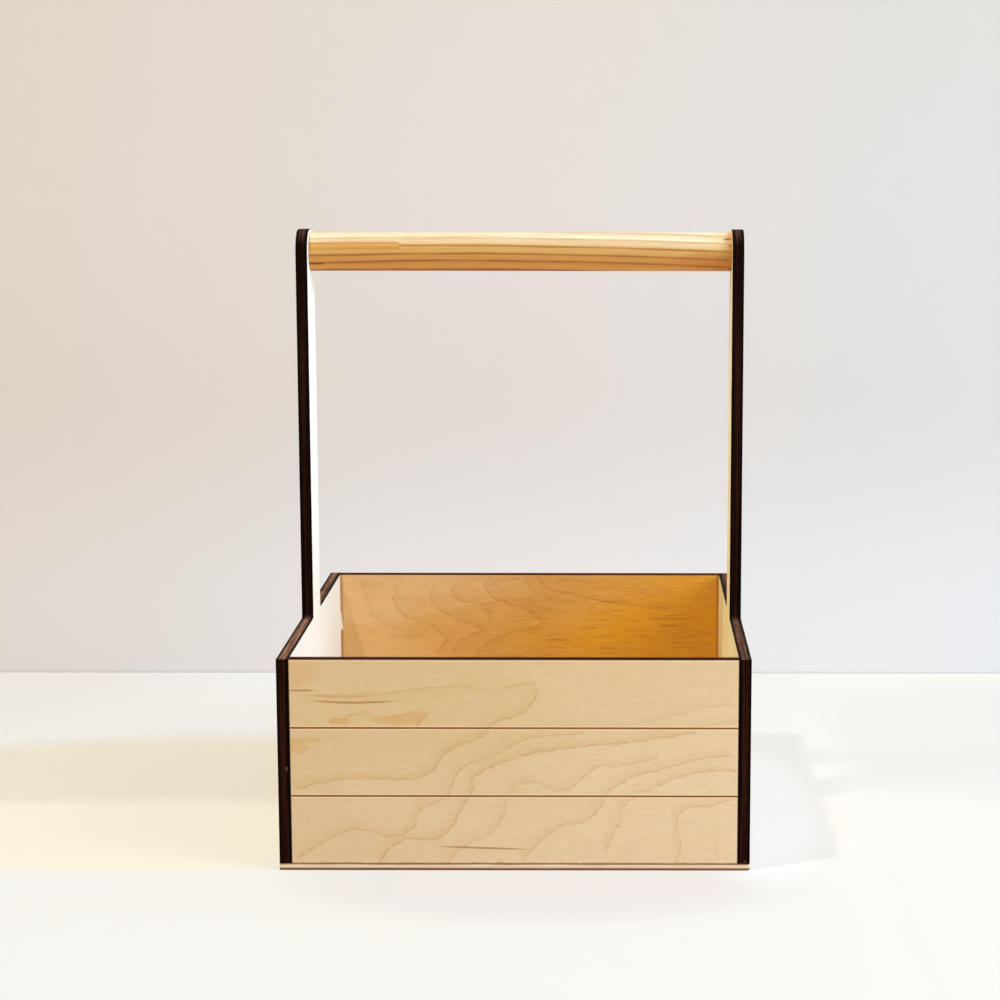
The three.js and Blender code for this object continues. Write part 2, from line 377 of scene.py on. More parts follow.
def soft_spot(tree, place, middle, half_size, slope=0.0, sag=0.0):
    """1 inside a soft-edged lens round a middle, in millimetres; slope tilts it and sag bends its ends up."""
    across = calc(tree, "SUBTRACT", place["X"], middle[0])
    bend = times(tree, calc(tree, "MULTIPLY_ADD", across, sag, slope), across)
    up = calc(tree, "SUBTRACT", calc(tree, "SUBTRACT", place["Y"], middle[1]), bend)
    x_share = calc(tree, "DIVIDE", across, half_size[0])
    y_share = calc(tree, "DIVIDE", up, half_size[1])
    reach = calc(tree, "MULTIPLY_ADD", x_share, x_share, times(tree, y_share, y_share))
    return remap(tree, reach, 0.35, 1.0, 1.0, 0.0)


def soft_spots(tree, place, marks):
    """Several soft spots as one mask; a mark is a middle, a half size and its slope and sag, if any."""
    return strongest(tree, [soft_spot(tree, place, *mark) for mark in marks])


def frayed(tree, grain, spots, fibre_scale, reach, shift=(0, 0, 0)):
    """A place moved about by fine noise, as X and Y and as a vector, and the noise that moves it upwards."""
    feather = sway(tree, mapped(tree, grain, scale=(fibre_scale, 0.9, 0.9), shift=shift), detail=4.0)
    wobble = sway(tree, grain, 0.3, detail=3.0)
    across = calc(tree, "MULTIPLY_ADD", feather, reach, spots["X"])
    up = calc(tree, "MULTIPLY_ADD", wobble, 2.8, spots["Y"])
    return {"X": across, "Y": up}, joined(tree, across, up), wobble


# Materials
fibre_group = make_wood_fibre()
figure_group = make_veneer_figure()
burnt_group = make_burnt_edge()

FACE_FRONT = (math.radians(-90), 0, 0)
FACE_SIDE = (0, math.radians(90), 0)
FACE_FLAT = (0, 0, 0)


def wood_finish(tree, shader, grain, colour, dark, streak_depth=0.5):
    """Fibres and pores over a wood colour, with roughness and bump."""
    fibre = use_group(tree, fibre_group, Vector=grain, Length=15.0, Width=0.5)
    streak = remap(tree, fibre["Streak"], 0.3, 0.72)
    colour = blend(tree, times(tree, streak, 0.22 * streak_depth), colour, dark)
    colour = blend(tree, times(tree, fibre["Pores"], 0.3 * streak_depth), colour, dark)
    rough = remap(tree, fibre["Streak"], 0.2, 0.8, 0.5, 0.66)
    height = calc(tree, "SUBTRACT", fibre["Streak"], times(tree, fibre["Pores"], 0.6))
    finish_surface(tree, shader, colour, rough, height, GRAIN_DEPTH, WOOD_GLOSS)


def birch_face(name, turn, sheet, seed, spacing=12.0, wave=60.0, arch=0.05, streak_depth=0.5, lines=0.3):
    """Birch veneer on a flat face, grain along the first axis of the turned place. The sheet gives its pale,
    warm and line colours."""
    material, tree, shader, place = new_material(name)
    pale, warm, line = sheet
    grain = mapped(tree, place, turn=turn, shift=seed)
    spots = split(tree, grain)
    broad = mapped(tree, grain, scale=(1 / 120, 1 / 45, 1 / 45))
    colour = blend(tree, remap(tree, noise(tree, broad), 0.3, 0.7), pale, warm)
    bowed = calc(tree, "SQRT", calc(tree, "MULTIPLY_ADD", spots["Y"], spots["Y"], 150.0))
    field = calc(tree, "MULTIPLY_ADD", spots["X"], -arch, bowed)
    figure = use_group(tree, figure_group, Vector=grain, Field=field, Spacing=spacing, Wave=wave)
    colour = blend(tree, times(tree, figure["Line"], lines), colour, line)
    colour = blend(tree, times(tree, figure["Tone"], 0.08), colour, line)
    wood_finish(tree, shader, grain, colour, line, streak_depth)
    return material


# Marks on the front panel in millimetres: the middle and half size of each, then its slope and sag, if any.
FRONT_PATCHES = [
    ((-53, 76), (12, 3.4), 0.1),
    ((-64, 75.4), (6, 2)),
    ((-84.5, 75), (6.5, 2.4)),
    ((-107, 62.5), (9, 4.4)),
    ((-100, 65.3), (9, 1.3)),
]
FRONT_CORNER = ((-109, 100), (17, 11))
FRONT_STREAKS = [
    ((-77.5, 84.1), (24, 0.66), 0.0, 0.0022),
    ((-104, 90.1), (9, 0.55)),
    ((-15.8, 11.4), (25, 0.6), -0.033),
]
FAINT_STREAK = ((-83, 87), (18, 0.7), 0.0, 0.003)
# The painted highlight of a pale lip beside an engraved line, by the distances from the line's middle at
# which it starts, is full, fades and ends. The height of the scorched foot. Where the dark joint starts and
# is full, from the panel's end.
LIP_HIGHLIGHT_REACH = (0.4, 0.6, 0.7, 1.3)
SCORCH_HEIGHT = 0.8
JOINT_START = 0.42
JOINT_FULL = 0.2


def front_face():
    """The front panel's outer veneer, with the drawn contours, amber patches and dark streaks."""
    material, tree, shader, place = new_material("birch_front")
    pale, warm, line = rgb(231, 203, 165), rgb(222, 189, 141), rgb(186, 136, 74)
    amber, honey, corner_honey = rgb(208, 156, 88), rgb(214, 154, 74), rgb(214, 154, 80)
    streak_brown, faint_brown, lip_highlight_pale = rgb(160, 90, 18), rgb(168, 112, 52), rgb(250, 220, 178)
    scorch_brown, joint_dark = rgb(146, 88, 44), rgb(34, 15, 9)
    grain = mapped(tree, place, turn=FACE_FRONT)
    spots = split(tree, grain)
    across = remap(tree, spots["X"], -110.0, 115.0)
    down = remap(tree, spots["Y"], 105.0, 0.0)
    tilt = calc(tree, "MULTIPLY_ADD", down, 0.55, times(tree, across, 0.5))
    broad = mapped(tree, grain, scale=(1 / 90, 1 / 30, 1 / 30))
    tilt = calc(tree, "MULTIPLY_ADD", sway(tree, broad), 0.6, tilt)
    colour = blend(tree, remap(tree, tilt, 0.0, 1.0), warm, pale)

    ragged, moved, wobble = frayed(tree, grain, spots, 0.08, 3.6)
    lines, shades = figure_marks(tree, moved, FRONT_CONTOURS, FIGURE_TURN, 1.0, 8.0)
    worn_out = remap(tree, noise(tree, mapped(tree, grain, scale=(0.2, 0.5, 0.5))), 0.3, 0.65, 0.2, 0.46)
    colour = blend(tree, times(tree, shades, 0.27), colour, amber)
    colour = blend(tree, times(tree, lines, worn_out), colour, line)
    mottle = noise(tree, mapped(tree, grain, scale=(0.25, 0.7, 0.7), shift=(11, 3, 0)), detail=3.0)
    colour = blend(tree, remap(tree, mottle, 0.4, 0.75, 0.0, 0.16), colour, amber)

    colour = blend(tree, times(tree, soft_spots(tree, ragged, FRONT_PATCHES), 0.38), colour, honey)
    colour = blend(tree, times(tree, soft_spot(tree, ragged, *FRONT_CORNER), 0.25), colour, corner_honey)
    colour = blend(tree, times(tree, soft_spots(tree, spots, FRONT_STREAKS), 0.66), colour, streak_brown)
    # Pale lips beside the engraved lines and under the top edge: a painted highlight.
    lip_highlights = []
    for number in range(1, BAND_COUNT + 1):
        away = calc(tree, "SUBTRACT", spots["Y"], PANEL_FOOT + number * BAND_STEP)
        lip_highlights.append(between(tree, calc(tree, "ABSOLUTE", away), *LIP_HIGHLIGHT_REACH))
    colour = blend(tree, times(tree, strongest(tree, lip_highlights), 0.5), colour, lip_highlight_pale)
    height = calc(tree, "MULTIPLY_ADD", wobble, 0.8, spots["Y"])
    scorch = remap(tree, height, PANEL_FOOT, PANEL_FOOT + SCORCH_HEIGHT, 0.85, 0.0)
    colour = blend(tree, scorch, colour, scorch_brown)
    from_middle = calc(tree, "ABSOLUTE", spots["X"])
    joint = remap(tree, from_middle, PANEL_END - JOINT_START, PANEL_END - JOINT_FULL, 0.0, 0.92)
    colour = blend(tree, joint, colour, joint_dark)
    colour = blend(tree, times(tree, soft_spot(tree, spots, *FAINT_STREAK), 0.3), colour, faint_brown)
    wood_finish(tree, shader, grain, colour, line)
    return material


# Contours of the back panel's inner figure, in the same way: arches that open to the right, the lower arms
# with which they turn back, and short dark dashes (middle and half size).
ARCH_TURN = math.radians(-45)
ARM_TURN = math.radians(45)
BACK_ARCHES = [
    (0.5, 1, [(-96.2, 100.6), (-95.4, 94.8), (-92.6, 87.6), (-89.7, 81.1), (-81, 75.4), (-70.9, 71),
              (-64.4, 66)]),
    (0.9, 1, [(-73.1, 102), (-78.1, 94.1), (-77.4, 87.6), (-72.4, 81.9), (-65.2, 78.3), (-56.5, 76.1),
              (-53.6, 72.5), (-47.9, 68.9)]),
    (0.8, 1, [(-55.1, 98.4), (-56.5, 90.5), (-54.3, 86.9), (-47.9, 82.6), (-39.2, 78.3), (-29.1, 74.6),
              (-25.5, 73.2)]),
    (0.8, 1, [(-43.5, 100.6), (-45, 96.3), (-42.8, 91.9), (-32, 89.1), (-26.2, 86.2), (-23.6, 81.1),
              (-22.6, 78.3)]),
    (1.0, 1, [(-24.8, 102), (-25.5, 97.7), (-22.6, 93.4), (-14.7, 89.8), (-4.6, 85.5), (2.6, 82.6),
              (6.6, 77.8)]),
    (0.6, 1, [(-20.5, 101.3), (-14.7, 94.1), (-7.5, 90.5), (2.6, 87.6), (12.7, 83.3)]),
    (0.6, 1, [(-3.9, 102.8), (2.6, 96.3), (9.8, 91.9), (25.7, 89.1), (37.2, 85.5)]),
    (0.9, 1, [(5.5, 103.5), (9.8, 98.4), (17, 95.6), (28.6, 93.4), (40.1, 90.5), (57.4, 87.6),
              (79, 86.2)]),
    (0.6, 1, [(6.9, 103.2), (21.3, 99.2), (40.1, 97), (60.3, 95.6), (80.5, 96)]),
    (0.5, 1, [(14.1, 103.2), (31.4, 100.6), (57.4, 99.4), (80.5, 99.9)]),
]
BACK_ARMS = [
    (0.8, -1, [(-47.9, 68.9), (-49.3, 65.3), (-54.3, 59.5)]),
    (0.8, -1, [(-25.5, 73.2), (-32, 70.6), (-40.7, 66), (-45, 60.9)]),
    (0.9, -1, [(6.6, 77.8), (3.3, 74.9), (-8.9, 72.5), (-23.3, 66), (-32, 59.5)]),
]
BACK_DASHES = [
    ((79, 79.7), (15, 0.7)),
    ((48, 89.8), (11, 0.6)),
    ((80.5, 75.7), (8.5, 0.7)),
    ((16.3, 67.3), (9, 0.7)),
    ((34.3, 74.2), (7, 0.6)),
    ((45.2, 62.4), (6, 0.8)),
]


def amber_shaded_inside():
    """The back panel's inner veneer: arches at the left, short dashes, and deeper amber at the right and
    lower down, partly its own tone and partly painted shade and warm bounced light.
    """
    material, tree, shader, place = new_material("birch_amber_painted_shade")
    pale, honey, shade_gold, line = rgb(231, 187, 129), rgb(219, 159, 76), rgb(225, 157, 31), rgb(180, 110, 40)
    cloud_amber, pale_fleck, dark_fleck = rgb(206, 140, 62), rgb(240, 188, 100), rgb(170, 98, 26)
    dash_brown, corner_shade_brown = rgb(176, 98, 16), rgb(160, 86, 18)
    grain = mapped(tree, place, turn=FACE_FRONT)
    spots = split(tree, grain)
    broad = mapped(tree, grain, scale=(1 / 50, 1 / 12, 1 / 30), shift=(4, 1, 0))
    # Paler at the left, deeper amber to the right and lower down: partly the wood's tone, partly painted
    # shade of the right wall and warm bounced light.
    across = remap(tree, spots["X"], -115.0, 110.0)
    painted_lower_shade = remap(tree, spots["Y"], 106.0, 58.0, -0.16, 0.2)
    tilt = calc(tree, "MULTIPLY_ADD", sway(tree, broad), 0.4, calc(tree, "ADD", across, painted_lower_shade))
    colour = blend(tree, remap(tree, tilt, 0.0, 0.55), pale, honey)
    colour = blend(tree, remap(tree, tilt, 0.5, 1.0), colour, shade_gold)

    ragged, moved, wobble = frayed(tree, grain, spots, 0.1, 4.5, shift=(7, 0, 0))
    arches, inside_arches = figure_marks(tree, moved, BACK_ARCHES, ARCH_TURN, 1.5, 9.0)
    arms, inside_arms = figure_marks(tree, moved, BACK_ARMS, ARM_TURN, 1.5, 7.0)
    shades = strongest(tree, [inside_arches, inside_arms])
    colour = blend(tree, times(tree, shades, 0.16), colour, line)
    worn_out = remap(tree, noise(tree, mapped(tree, grain, scale=(0.15, 0.5, 0.5))), 0.3, 0.65, 0.1, 0.36)
    colour = blend(tree, times(tree, strongest(tree, [arches, arms]), worn_out), colour, line)

    clouds = noise(tree, mapped(tree, grain, scale=(1 / 22, 1 / 7, 1 / 8)), detail=3.0)
    colour = blend(tree, remap(tree, clouds, 0.4, 0.7, 0.0, 0.25), colour, cloud_amber)
    flecks = noise(tree, mapped(tree, grain, scale=(1 / 7, 1 / 0.7, 1 / 8), shift=(3, 9, 0)))
    colour = blend(tree, remap(tree, flecks, 0.42, 0.28, 0.0, 0.3), colour, pale_fleck)
    dark_share = remap(tree, spots["X"], -70.0, 20.0, 0.12, 0.36)
    colour = blend(tree, times(tree, remap(tree, flecks, 0.58, 0.72), dark_share), colour, dark_fleck)
    ragged["Y"] = calc(tree, "MULTIPLY_ADD", wobble, 0.9, spots["Y"])
    drawn = soft_spots(tree, ragged, BACK_DASHES)
    loose = noise(tree, mapped(tree, grain, scale=(1 / 18, 1 / 1.2, 1 / 8)))
    loose_share = remap(tree, spots["X"], -50.0, 50.0, 0.2, 0.55)
    dashes = strongest(tree, [drawn, times(tree, remap(tree, loose, 0.54, 0.72), loose_share)])
    colour = blend(tree, times(tree, dashes, 0.46), colour, dash_brown)
    # Darker brown over the last millimetres at both ends, in the inside corners: painted corner shade.
    from_middle = calc(tree, "ABSOLUTE", spots["X"])
    ends = remap(tree, from_middle, PANEL_END - 2.2, PANEL_END - 0.6, 0.0, 0.55)
    colour = blend(tree, ends, colour, corner_shade_brown)
    wood_finish(tree, shader, grain, colour, line)
    return material


# Where the burnt edges change, in millimetres: towards the rear, at the foot of an upright, where the rim
# keeps painted shade, as it rises, at its rounded top, with a brown patch and painted light, and above the
# rim.
REARWARD = (0.0, 50.0)
SHADED_UPRIGHT_FOOT = (16.0, 22.0)
UPRIGHT_RISE = (200.0, 290.0)
UPRIGHT_TOP_WEAR_AND_LIGHT = (285.0, 300.0)
ABOVE_RIM = (104.0, 125.0)


def burnt_edge(name, through_axis, brown, red=0.0):
    """Beam-cut plywood edges: near black on upright faces, brown and red by a share where they look up."""
    material, tree, shader, place = new_material(name)
    rim_red, high_black = rgb(58, 14, 0), rgb(12, 3, 2)
    normal = split(tree, add_node(tree, "ShaderNodeNewGeometry").outputs["Normal"])
    spots = split(tree, place)
    # Faces that look up are paler brown: partly worn char, partly painted light from above, more on the
    # uprights' rounded tops.
    facing_up = remap(tree, normal["Z"], 0.3, 0.98)
    rear = remap(tree, spots["Y"], *REARWARD, 1.0, 0.65)
    rise = remap(tree, spots["Z"], *UPRIGHT_RISE, 1.0, 0.35)
    # Less brown on the rim near an upright's foot: painted shade.
    foot = remap(tree, calc(tree, "ABSOLUTE", spots["Y"]), *SHADED_UPRIGHT_FOOT, 0.3, 1.0)
    browned_and_lit = times(tree, facing_up, brown, rear, rise, foot)
    top = times(tree, facing_up, remap(tree, spots["Z"], *UPRIGHT_TOP_WEAR_AND_LIGHT, 0.0, 0.42))
    up = strongest(tree, [browned_and_lit, top])
    others = [axis for axis in "XYZ" if axis != through_axis]
    along = calc(tree, "ADD", spots[others[0]], spots[others[1]])
    through = calc(tree, "SUBTRACT", calc(tree, "ABSOLUTE", spots[through_axis]), SHEET_MIDDLE / MM)
    burnt = use_group(tree, burnt_group, Along=along, Through=through, Up=up)
    colour = blend(tree, times(tree, facing_up, red, rear), burnt["Colour"], rim_red)
    colour = blend(tree, remap(tree, spots["Z"], *ABOVE_RIM, 0.0, 0.35), colour, high_black)
    finish_surface(tree, shader, colour, burnt["Rough"], burnt["Height"], GRAIN_DEPTH, BURNT_GLOSS)
    return material


def engraved_line():
    """The burnt V of an engraved line: brown, darker in patches."""
    material, tree, shader, place = new_material("engraved_brown")
    spots = split(tree, place)
    burnt = use_group(tree, burnt_group, Along=spots["X"], Through=spots["Z"], Up=0.0)
    patches = noise(tree, mapped(tree, place, scale=(0.05, 1, 1)), detail=3.0)
    colour = blend(tree, remap(tree, patches, 0.3, 0.7, 0.0, 0.18), rgb(158, 100, 44), burnt["Colour"])
    finish_surface(tree, shader, colour, burnt["Rough"], burnt["Height"], ENGRAVED_DEPTH, ENGRAVED_GLOSS)
    return material


# Heights in the base's edge in millimetres: the dark foot, partly burnt and partly painted contact shadow,
# the middle ply and the glue seam under the walls.
BURNT_AND_SHADED_FOOT = (0.95, 1.6)
MIDDLE_PLY = (1.15, 1.35, 2.1, 2.3)
GLUE_SEAM = (2.6, 3.1)


def base_edge():
    """The base's sawn edge: pale outer plies, a duller middle ply, brown glue, and a dark foot of burn and
    painted contact shadow.
    """
    material, tree, shader, place = new_material("base_sawn_edge")
    pale_ply, warm_ply, middle_ply = rgb(253, 231, 199), rgb(242, 211, 172), rgb(212, 184, 146)
    burn_and_shadow_brown, seam_brown, fibre_brown = rgb(108, 60, 34), rgb(132, 78, 40), rgb(150, 108, 70)
    height = split(tree, place)["Z"]
    long_noise = noise(tree, mapped(tree, place, scale=(0.06, 0.06, 0.5)), detail=3.0)
    waver = calc(tree, "MULTIPLY_ADD", calc(tree, "SUBTRACT", long_noise, 0.5), 0.5, height)
    colour = blend(tree, remap(tree, long_noise, 0.3, 0.7), pale_ply, warm_ply)
    colour = blend(tree, times(tree, between(tree, waver, *MIDDLE_PLY), 0.35), colour, middle_ply)
    # The dark foot: partly burnt ply, partly painted contact shadow.
    colour = blend(tree, remap(tree, waver, *BURNT_AND_SHADED_FOOT, 0.96, 0.0), colour, burn_and_shadow_brown)
    colour = blend(tree, remap(tree, waver, *GLUE_SEAM, 0.0, 0.85), colour, seam_brown)
    fibre = use_group(tree, fibre_group, Vector=place, Length=9.0, Width=0.3)
    colour = blend(tree, times(tree, fibre["Streak"], 0.2), colour, fibre_brown)
    rough = remap(tree, fibre["Streak"], 0.2, 0.8, 0.6, 0.78)
    finish_surface(tree, shader, colour, rough, fibre["Streak"], SAWN_DEPTH, SAWN_GLOSS)
    return material


# The rod's growth lines in millimetres. They stand highest at one place along the rod and bow down to both
# ends. Each has its height above the rod's middle, its strength and how far it sinks more at the left end.
# One line parts into a tongue towards the left end.
ROD_BOW_FROM = -45
ROD_BOW = 0.000136
ROD_LINES = [
    (10.6, 0.45, 0.0),
    (6.6, 0.45, 0.0),
    (2.5, 0.95, 0.0),
    (-1.7, 0.8, 0.7),
    (-5.2, 0.82, 1.0),
    (-9.4, 1.0, 0.0),
]
ROD_LEFT_END = (-40.0, -109.0)
TONGUE_LINE = 2.5
TONGUE_TIP = -62
TONGUE_HALF = 1.5
# Noise that waves the lines, by its scale and reach. The stain, the painted reflected light and the amber of
# the right end, and small marks at both ends.
ROD_WAVES = [
    ((1 / 60, 1 / 7, 1 / 7), 0.9),
    ((1 / 9, 1 / 1.2, 1 / 1.2), 0.4),
]
ROD_STAIN = ((108, -4.5), (32, 6.5))
ROD_REFLECTED_LIGHT = (92.0, 106.0)
ROD_END_AMBER = (105.5, 108.5)
ROD_END_MARKS = [
    ((106.5, 6.8), (2.6, 0.5)),
    ((108, 3.6), (1.6, 0.4)),
    ((108, -8.6), (1.4, 0.6)),
    ((-105.5, -5.8), (5.5, 0.75)),
]


def pine_rod():
    """Pine: pale above, amber below, in part painted light and shade, with growth lines along the rod that
    bow down to both ends.
    """
    material, tree, shader, place = new_material("pine")
    pale_and_lit_cream, straw, amber = rgb(243, 234, 201), rgb(210, 165, 94), rgb(221, 155, 78)
    tongue_gold, thread_brown, halo_amber = rgb(226, 178, 88), rgb(196, 134, 60), rgb(204, 136, 54)
    line_gold, line_brown, outline_gold = rgb(190, 122, 36), rgb(146, 74, 12), rgb(200, 142, 54)
    stain_brown, reflected_light_gold, end_amber = rgb(192, 108, 26), rgb(250, 205, 122), rgb(212, 138, 48)
    mark_brown, fibre_brown = rgb(116, 58, 12), rgb(170, 104, 44)
    grain = mapped(tree, place, shift=(0, 0, -ROD_MIDDLE.z / MM))
    spots = split(tree, grain)
    from_bow = calc(tree, "SUBTRACT", spots["X"], ROD_BOW_FROM)
    bow = times(tree, from_bow, from_bow, ROD_BOW)
    ring = calc(tree, "MULTIPLY_ADD", spots["Y"], 0.12, calc(tree, "ADD", spots["Z"], bow))
    for scale, reach in ROD_WAVES:
        ring = calc(tree, "MULTIPLY_ADD", sway(tree, mapped(tree, grain, scale=scale)), reach, ring)

    tongue = remap(tree, spots["X"], TONGUE_TIP + 1, TONGUE_TIP - 2, 0.0, TONGUE_HALF)
    cores, halos = [], []
    for height, strength, sink in ROD_LINES:
        above = calc(tree, "SUBTRACT", ring, remap(tree, spots["X"], *ROD_LEFT_END, height, height - sink))
        if height == TONGUE_LINE:
            from_line = calc(tree, "ABSOLUTE", above)
            inside = calc(tree, "LESS_THAN", from_line, tongue)
            above = calc(tree, "SUBTRACT", from_line, tongue)
        core = remap(tree, calc(tree, "ABSOLUTE", above), 0.05, 0.85, 1.0, 0.0)
        cores.append(times(tree, core, strength))
        halos.append(times(tree, between(tree, above, -3.0, 0.0, 0.0, 1.0), strength))
    patchy = noise(tree, mapped(tree, grain, scale=(1 / 30, 1 / 3, 1 / 3)))
    lines = times(tree, strongest(tree, cores), remap(tree, patchy, 0.3, 0.6, 0.55, 0.95))

    # Pale above and amber below by height: partly the pine's own tone, partly painted light from above and
    # shade below.
    body = blend(tree, remap(tree, ring, 8.5, 1.0), pale_and_lit_cream, straw)
    body = blend(tree, remap(tree, ring, 1.0, -6.0), body, amber)
    body = blend(tree, times(tree, inside, 0.4), body, tongue_gold)
    threads = noise(tree, mapped(tree, grain, scale=(1 / 45, 1 / 0.9, 1 / 0.9)))
    body = blend(tree, remap(tree, threads, 0.5, 0.75, 0.0, 0.35), body, thread_brown)
    colour = blend(tree, times(tree, strongest(tree, halos), 0.6), body, halo_amber)
    brown = blend(tree, remap(tree, ring, 6.5, 0.0), line_gold, line_brown)
    past_tip = remap(tree, spots["X"], TONGUE_TIP + 3, TONGUE_TIP)
    at_tongue = times(tree, past_tip, remap(tree, ring, -0.5, 0.5))
    brown = blend(tree, at_tongue, brown, outline_gold)
    colour = blend(tree, lines, colour, brown)

    profile = {"X": spots["X"], "Y": spots["Z"]}
    colour = blend(tree, times(tree, soft_spot(tree, profile, *ROD_STAIN), 0.42), colour, stain_brown)
    # Painted golden reflected light on the upper part of the right end, beside the upright.
    glow = times(tree, remap(tree, spots["X"], *ROD_REFLECTED_LIGHT, 0.0, 0.34), remap(tree, ring, -3.0, 5.0))
    colour = blend(tree, glow, colour, reflected_light_gold)
    colour = blend(tree, remap(tree, spots["X"], *ROD_END_AMBER, 0.0, 0.5), colour, end_amber)
    colour = blend(tree, times(tree, soft_spots(tree, profile, ROD_END_MARKS), 0.8), colour, mark_brown)
    wood_finish(tree, shader, grain, colour, fibre_brown, streak_depth=1.0)
    return material


def metal(name, colour, rough_low, rough_high, tint):
    """Plated or bright steel with a brushed, slightly stained surface."""
    material, tree, shader, place = new_material(name)
    stain = noise(tree, place, 0.9, detail=3.0)
    fine = noise(tree, mapped(tree, place, scale=(6, 1.2, 6)))
    shade = blend(tree, remap(tree, stain, 0.35, 0.7), colour, tint)
    rough = remap(tree, fine, 0.3, 0.7, rough_low, rough_high)
    shader.inputs["Metallic"].default_value = 1.0
    finish_surface(tree, shader, shade, rough, fine, BRUSHED_DEPTH)
    return material


def glue():
    """A bead of dried wood glue, pale and slightly glossy."""
    material, tree, shader, place = new_material("dried_glue")
    cloud = noise(tree, place, 0.6)
    colour = blend(tree, remap(tree, cloud, 0.3, 0.7), rgb(246, 240, 226), rgb(236, 222, 196))
    rough = remap(tree, cloud, 0.2, 0.8, 0.28, 0.45)
    finish_surface(tree, shader, colour, rough, cloud, GRAIN_DEPTH)
    return material


# Veneer sheets by their pale, warm and line colours. The nearly white and the yellow sheets of the sides'
# inner faces are birch with painted light: strong light on the left one, warm bounced light on the right one.
BIRCH_SHEET = (rgb(231, 203, 163), rgb(219, 184, 136), rgb(184, 136, 78))
BORED_SHEET = (*BIRCH_SHEET[1:], BIRCH_SHEET[2])
CHIPPED_SHEET = (rgb(120, 88, 70), rgb(86, 60, 46), rgb(70, 46, 34))
PAINTED_LIGHT_PALE_SHEET = (rgb(250, 252, 251), rgb(249, 250, 248), rgb(244, 241, 231))
PAINTED_LIGHT_WARM_SHEET = (rgb(255, 243, 190), rgb(254, 237, 176), rgb(240, 202, 132))
INNER_SHEET = (rgb(247, 231, 202), rgb(241, 219, 184), rgb(204, 164, 112))
materials = {
    "front": front_face(),
    "front_inside": birch_face("birch_front_inside", FACE_FRONT, INNER_SHEET, (40, -20, 90)),
    "back": birch_face(
        "birch_back", FACE_FRONT, BIRCH_SHEET, (90, -48, 300), spacing=11.0, wave=70.0, arch=0.25
    ),
    "back_inside": amber_shaded_inside(),
    "side_outside": birch_face(
        "birch_side", FACE_SIDE, BIRCH_SHEET, (20, 12, 500), spacing=11.0, arch=0.2
    ),
    # The sides' inner faces: birch with painted light, strong on the left one and warm on the right one.
    "left_inside": birch_face(
        "birch_left_inside_painted_light",
        FACE_SIDE,
        PAINTED_LIGHT_PALE_SHEET,
        (0, -20, 700),
        spacing=14.0,
        wave=50.0,
        streak_depth=0.25,
        lines=0.5,
    ),
    "right_inside": birch_face(
        "birch_right_inside_painted_light",
        FACE_SIDE,
        PAINTED_LIGHT_WARM_SHEET,
        (30, -35, 900),
        spacing=20.0,
        wave=40.0,
        streak_depth=0.3,
    ),
    "bored_wood": birch_face("birch_bored", FACE_FLAT, BORED_SHEET, (5, 5, 5)),
    "chipped": birch_face("chipped_wood", FACE_FLAT, CHIPPED_SHEET, (9, 2, 5)),
    "left_burnt": burnt_edge("burnt_left_edge", "X", 1.0),
    "right_burnt": burnt_edge("burnt_right_edge", "X", 0.4),
    "panel_burnt": burnt_edge("burnt_panel_edge", "Y", 0.3, red=0.9),
    "engraved": engraved_line(),
    "base_face": birch_face("base_birch", FACE_FLAT, INNER_SHEET, (10, 30, 0)),
    "base_edge": base_edge(),
    "pine": pine_rod(),
    "zinc": metal("yellow_zinc", rgb(214, 190, 128), 0.25, 0.42, rgb(186, 160, 104)),
    "steel": metal("pin_steel", rgb(196, 194, 190), 0.22, 0.4, rgb(150, 146, 140)),
    "glue": glue(),
}


# Modelling helpers
ALONG_X = (0, math.radians(90), 0)
ALONG_Y = (math.radians(90), 0, 0)
ALONG_Z = (0, 0, 0)
# What counts as the same place, as a face that looks along an axis, squarely or nearly, and as a sloped face.
SAME_PLACE = 0.02 * MM
SQUARE_ON = 0.97
NEARLY_ON = 0.9
SLOPED = 0.2
FLAT_ANGLE = math.radians(0.5)
SMOOTH_ANGLE = math.radians(35)
SHARP_ANGLE = math.radians(60)


def deselect():
    bpy.ops.object.select_all(action="DESELECT")


def take(piece):
    """Makes a piece the only one that operators work on."""
    deselect()
    piece.select_set(True)
    bpy.context.view_layer.objects.active = piece


def settled(name):
    """Names the newest primitive and puts its place, turn and scale into its mesh."""
    piece = bpy.context.active_object
    piece.name = name
    piece.data.name = name
    bpy.ops.object.transform_apply(location=True, rotation=True, scale=True)
    return piece


def start_block(name, low, high):
    """A cube drawn out to a block between two corners."""
    deselect()
    bpy.ops.mesh.primitive_cube_add(size=1, location=(low + high) / 2)
    bpy.context.active_object.scale = high - low
    return settled(name)


def edit(piece):
    take(piece)
    bpy.ops.object.mode_set(mode="EDIT")


def done():
    bpy.ops.object.mode_set(mode="OBJECT")


def pick(piece, kind, test):
    """Selects the edges or faces of the piece in edit mode that pass a test."""
    bpy.ops.mesh.select_mode(type=kind)
    bpy.ops.mesh.select_all(action="DESELECT")
    mesh = bmesh.from_edit_mesh(piece.data)
    for part in mesh.edges if kind == "EDGE" else mesh.faces:
        part.select_set(test(part))
    bmesh.update_edit_mesh(piece.data)


def cut(place, direction):
    """Cuts all the faces of the piece in edit mode along a plane."""
    bpy.ops.mesh.select_all(action="SELECT")
    bpy.ops.mesh.bisect(plane_co=place, plane_no=direction)


def middle_of(edge):
    return (edge.verts[0].co + edge.verts[1].co) / 2


def runs_along(edge, axis):
    return abs((edge.verts[1].co - edge.verts[0].co).normalized()[axis]) > 0.99


def near(value, target):
    return abs(value - target) < SAME_PLACE


def bevel(width, steps):
    bpy.ops.mesh.bevel(
        offset=width,
        offset_type="OFFSET",
        segments=steps,
        profile=0.5,
        affect="EDGES",
        clamp_overlap=False,
    )


